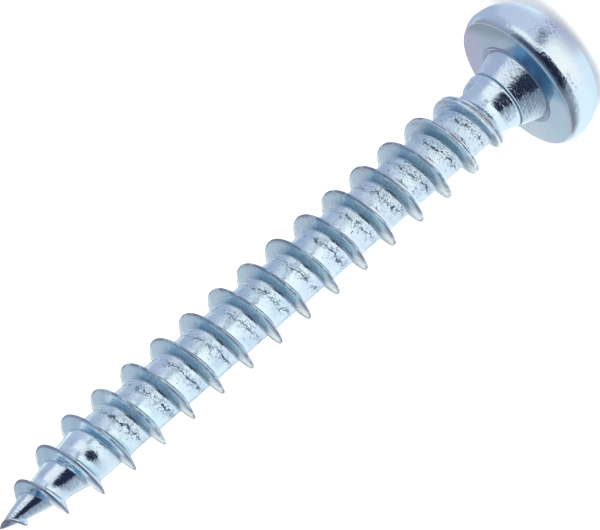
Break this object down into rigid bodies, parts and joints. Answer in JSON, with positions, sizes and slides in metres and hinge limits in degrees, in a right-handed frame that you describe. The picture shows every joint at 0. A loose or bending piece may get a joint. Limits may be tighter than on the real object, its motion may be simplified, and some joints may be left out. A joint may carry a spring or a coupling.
{
  "type": "pan head wood screw",
  "caption": "Fully threaded wood screw with a low rounded pan head, a cross recess, a short conical neck under the head and a sharp gimlet point.",
  "frame": {"origin": "centre of the flat bearing face under the head, on the screw's axis", "axes": "+Z along the axis from the head to the point, so the screw stands on its head; +X and +Y along the wings of the cross recess"},
  "size_m": [0.0116, 0.0116, 0.0539],
  "materials": {
    "zinc_plated_steel": "bright zinc plating with a pale blue passivation, pitted and creased by thread rolling between the turns"
  },
  "bodies": {
    "root": {"screw": "zinc_plated_steel"}
  },
  "joints": []
}
